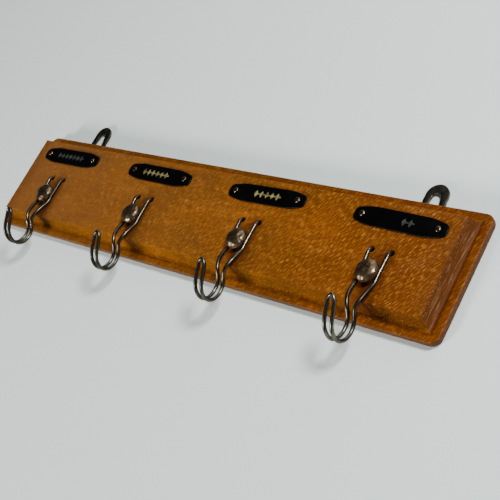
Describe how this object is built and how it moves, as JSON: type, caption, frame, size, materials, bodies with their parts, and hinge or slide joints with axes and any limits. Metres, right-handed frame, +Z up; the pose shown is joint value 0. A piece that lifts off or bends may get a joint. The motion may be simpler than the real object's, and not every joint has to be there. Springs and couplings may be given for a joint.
{
  "type": "wall hook rack",
  "caption": "Moulded rectangular wooden wall board with double-wire hooks, domed nails and pinned label plates in a row, and eyelet hangers on its top edge.",
  "frame": {"origin": "centre of the board's flat back face", "axes": "+X along the board to the right as seen from the front, +Y out of the back into the wall, +Z up"},
  "size_m": [0.4, 0.0392, 0.116],
  "materials": {
    "stained_beech": "stained and varnished beech, worn",
    "browned_wire": "browned steel wire",
    "bronzed_nail": "hammered, dark bronzed steel",
    "black_enamel": "black enamelled steel with worn gilt ornament",
    "dark_brass": "darkened brass",
    "blued_steel": "blued steel, slightly rusted"
  },
  "bodies": {
    "root": {"board": "stained_beech", "hook_1": "browned_wire", "hook_2": "browned_wire", "hook_3": "browned_wire", "hook_4": "browned_wire", "hook_nail_1": "bronzed_nail", "hook_nail_2": "bronzed_nail", "hook_nail_3": "bronzed_nail", "hook_nail_4": "bronzed_nail", "label_plate_1": "black_enamel", "label_plate_2": "black_enamel", "label_plate_3": "black_enamel", "label_plate_4": "black_enamel", "plate_pin_1_left": "dark_brass", "plate_pin_1_right": "dark_brass", "plate_pin_2_left": "dark_brass", "plate_pin_2_right": "dark_brass", "plate_pin_3_left": "dark_brass", "plate_pin_3_right": "dark_brass", "plate_pin_4_left": "dark_brass", "plate_pin_4_right": "dark_brass", "hanger_left": "blued_steel", "hanger_nail_left_upper": "blued_steel", "hanger_nail_left_lower": "blued_steel", "hanger_right": "blued_steel", "hanger_nail_right_upper": "blued_steel", "hanger_nail_right_lower": "blued_steel"}
  },
  "joints": []
}
